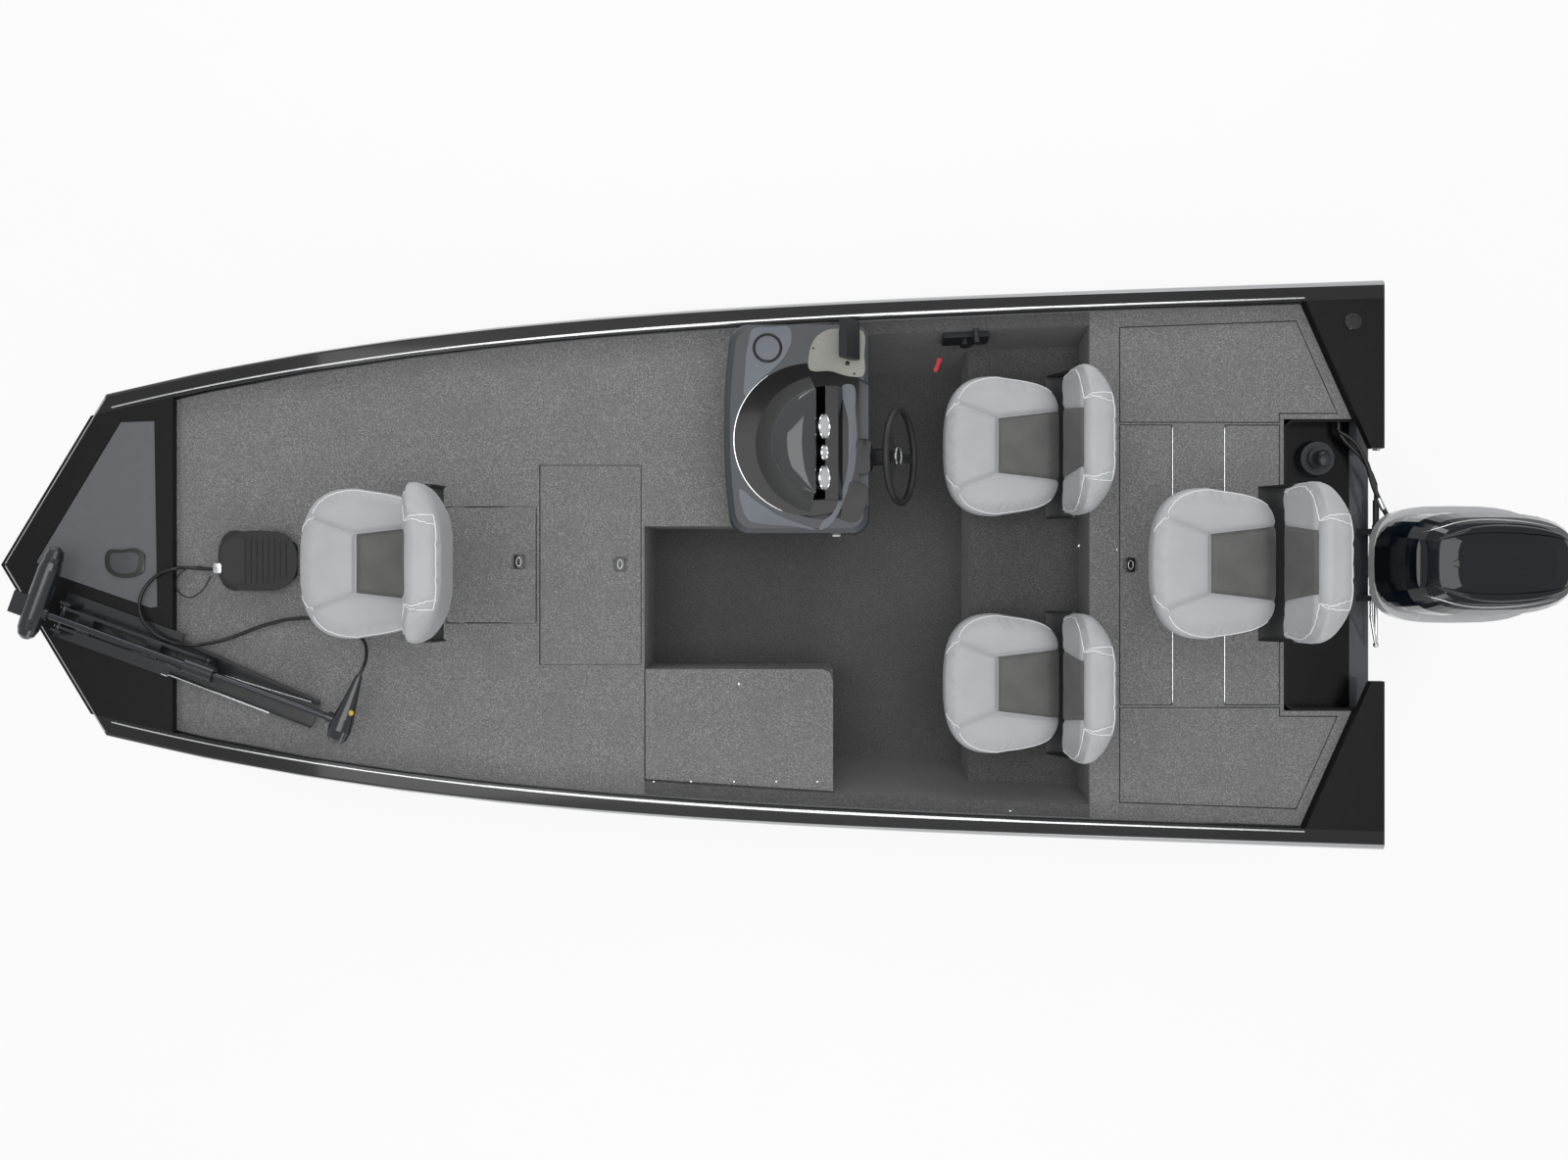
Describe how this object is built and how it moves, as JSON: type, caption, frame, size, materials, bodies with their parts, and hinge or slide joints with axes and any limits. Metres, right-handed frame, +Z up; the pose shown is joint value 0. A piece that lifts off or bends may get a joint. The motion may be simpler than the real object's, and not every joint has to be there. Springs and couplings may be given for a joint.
{
  "type": "bass boat",
  "caption": "Aluminium bass boat with console, swivelling pedestal seats, storage lids, tilting outboard motor and folding bow motor, afloat.",
  "frame": {"origin": "middle of the transom's aft face, at the waterline", "axes": "+X forward to the bow, +Y to port, +Z up"},
  "size_m": [6.296, 2.35, 1.9828],
  "materials": {
    "painted_hull": "gloss",
    "rail_black": "gloss",
    "cap_black": "satin",
    "panel_grey": "matte",
    "carpet": "short pile carpet",
    "liner": "vinyl flooring",
    "well_black": "gloss",
    "light_dark": "satin",
    "console_slate": "satin",
    "dash_black": "gloss",
    "tinted_screen": "tinted",
    "device_black": "satin",
    "wheel_black": "matte",
    "post_dark": "satin",
    "seat_vinyl": "vinyl",
    "bracket_black": "satin",
    "cowl_gloss": "gloss",
    "cowl_silver": "gloss",
    "prop_dark": "satin",
    "steel": "brushed",
    "cable_black": "matte",
    "shaft_silver": "satin",
    "pod_dark": "satin"
  },
  "bodies": {
    "boat": {"hull_bottom": "painted_hull", "hull_bow": "painted_hull", "hull_stern": "painted_hull", "hull_port_side": "painted_hull", "hull_starboard_side": "painted_hull", "stern_frame": "painted_hull", "gunwales": "rail_black", "bow_cap": "cap_black", "bow_panel": "panel_grey", "fore_deck": "carpet", "cockpit_liner": "liner", "port_box": "liner", "seat_bench": "liner", "aft_deck": "carpet", "splash_well": "well_black", "transom_corners": "cap_black", "stern_light": "light_dark", "console": "console_slate", "dash_panel": "dash_black", "windscreen": "tinted_screen", "sonar_display": "device_black", "helm": "device_black", "throttle_control": "device_black", "seat_posts": "post_dark", "cockpit_seat_frames": "bracket_black", "starboard_seat_cushion": "seat_vinyl", "port_seat_cushion": "seat_vinyl", "clamp_bracket": "bracket_black", "steering_cable": "cable_black", "trolling_base": "bracket_black", "foot_pedal": "device_black", "pedal_cable": "cable_black"},
    "bow_seat": {"bow_seat_frame": "bracket_black", "bow_seat_cushion": "seat_vinyl"},
    "bow_backrest": {"bow_seat_back": "seat_vinyl"},
    "stern_seat": {"stern_seat_frame": "bracket_black", "stern_seat_cushion": "seat_vinyl"},
    "stern_backrest": {"stern_seat_back": "seat_vinyl"},
    "starboard_backrest": {"starboard_seat_back": "seat_vinyl"},
    "port_backrest": {"port_seat_back": "seat_vinyl"},
    "swivel": {"swivel_bracket": "bracket_black"},
    "outboard": {"motor_cowl": "cowl_gloss", "lower_cowl": "cowl_silver", "motor_leg": "cowl_gloss"},
    "propeller_body": {"propeller": "prop_dark"},
    "wheel": {"steering_wheel": "wheel_black"},
    "ram": {"steering_ram": "steel"},
    "bow_motor_arm": {"trolling_arm": "bracket_black"},
    "bow_motor_collar": {"trolling_collar": "device_black"},
    "bow_motor": {"trolling_shaft": "shaft_silver", "trolling_head": "pod_dark", "trolling_pod": "pod_dark"},
    "bow_motor_prop": {"trolling_prop": "pod_dark"},
    "lid_fore_a": {"fore_lid_a": "carpet"},
    "lid_fore_b": {"fore_lid_b": "carpet"},
    "lid_port_box": {"port_box_lid": "carpet"},
    "lid_aft_port": {"aft_lid_port": "carpet"},
    "lid_aft_starboard": {"aft_lid_starboard": "carpet"},
    "lid_aft_front": {"aft_lid_front": "carpet"},
    "lid_aft_rear": {"aft_lid_rear": "carpet"}
  },
  "joints": [
    {"name": "fore_lid_a", "type": "hinge", "parent": "boat", "child": "lid_fore_a", "pos_m": [3.872, 0, 0.385], "axis": [0, 1, 0], "range_deg": [0, 80]},
    {"name": "fore_lid_b", "type": "hinge", "parent": "boat", "child": "lid_fore_b", "pos_m": [3.484, 0, 0.385], "axis": [0, 1, 0], "range_deg": [0, 88]},
    {"name": "port_box_lid", "type": "hinge", "parent": "boat", "child": "lid_port_box", "pos_m": [2.267, 0.943, 0.385], "axis": [-0.998, 0.0638, 0], "range_deg": [0, 88]},
    {"name": "aft_lid_port", "type": "hinge", "parent": "boat", "child": "lid_aft_port", "pos_m": [1.082, 0.9865, 0.385], "axis": [-0.9994, 0.0357, 0], "range_deg": [0, 85]},
    {"name": "aft_lid_starboard", "type": "hinge", "parent": "boat", "child": "lid_aft_starboard", "pos_m": [1.082, -0.9865, 0.385], "axis": [0.9994, 0.0357, 0], "range_deg": [0, 85]},
    {"name": "aft_lid_front", "type": "hinge", "parent": "boat", "child": "lid_aft_front", "pos_m": [0.861, 0, 0.385], "axis": [0, -1, 0], "range_deg": [0, 88]},
    {"name": "aft_lid_rear", "type": "hinge", "parent": "boat", "child": "lid_aft_rear", "pos_m": [0.645, 0, 0.385], "axis": [0, 1, 0], "range_deg": [0, 88]},
    {"name": "bow_seat_swivel", "type": "hinge", "parent": "boat", "child": "bow_seat", "pos_m": [4.027, 0, 0.79], "axis": [0, 0, 1], "continuous": true},
    {"name": "bow_seat_fold", "type": "hinge", "parent": "bow_seat", "child": "bow_backrest", "pos_m": [3.802, 0, 0.96], "axis": [0, 1, 0], "range_deg": [0, 60]},
    {"name": "stern_seat_swivel", "type": "hinge", "parent": "boat", "child": "stern_seat", "pos_m": [0.785, 0, 0.82], "axis": [0, 0, 1], "continuous": true},
    {"name": "stern_seat_fold", "type": "hinge", "parent": "stern_seat", "child": "stern_backrest", "pos_m": [0.56, 0, 0.99], "axis": [0, 1, 0], "range_deg": [0, 60]},
    {"name": "starboard_seat_fold", "type": "hinge", "parent": "boat", "child": "starboard_backrest", "pos_m": [1.298, -0.488, 0.53], "axis": [0, 1, 0], "range_deg": [0, 60]},
    {"name": "port_seat_fold", "type": "hinge", "parent": "boat", "child": "port_backrest", "pos_m": [1.298, 0.488, 0.53], "axis": [0, 1, 0], "range_deg": [0, 60]},
    {"name": "outboard_tilt", "type": "hinge", "parent": "boat", "child": "swivel", "pos_m": [-0.008, 0, 0.32], "axis": [0, 1, 0], "range_deg": [0, 60]},
    {"name": "outboard_steer", "type": "hinge", "parent": "swivel", "child": "outboard", "pos_m": [-0.11, 0, 0], "axis": [0, 0, 1], "range_deg": [-30, 30]},
    {"name": "outboard_prop", "type": "hinge", "parent": "outboard", "child": "propeller_body", "pos_m": [-0.48, 0, -0.44], "axis": [1, 0, 0], "continuous": true},
    {"name": "steering_wheel", "type": "hinge", "parent": "boat", "child": "wheel", "pos_m": [2.007, -0.43, 0.62], "axis": [-0.9272, 0, 0.3746], "range_deg": [-720, 720]},
    {"name": "steering_ram", "type": "slide", "parent": "swivel", "child": "ram", "axis": [0, 1, 0], "range_m": [-0.06, 0.06]},
    {"name": "bow_motor_arm", "type": "hinge", "parent": "boat", "child": "bow_motor_arm", "pos_m": [5.405, 0.213, 0.5], "axis": [0.342, 0.9397, 0], "range_deg": [0, 180]},
    {"name": "bow_motor_collar", "type": "hinge", "parent": "bow_motor_arm", "child": "bow_motor_collar", "pos_m": [4.82239, 0.42505, 0.5], "axis": [0.342, 0.9397, 0], "range_deg": [-90, 0]},
    {"name": "bow_motor_steer", "type": "hinge", "parent": "bow_motor_collar", "child": "bow_motor", "pos_m": [5.405, 0.213, 0.56], "axis": [-0.9397, 0.342, 0], "range_deg": [0, 180]},
    {"name": "bow_motor_prop", "type": "hinge", "parent": "bow_motor", "child": "bow_motor_prop", "pos_m": [5.48487, 0.18393, 0.56], "axis": [0.342, 0.9397, 0], "continuous": true}
  ],
  "couplings": [
    {"joint": "steering_wheel", "follows": "outboard_steer", "ratio": 24},
    {"joint": "steering_ram", "follows": "outboard_steer", "m_per_rad": 0.107},
    {"joint": "bow_motor_collar", "follows": "bow_motor_arm", "ratio": -0.5}
  ]
}
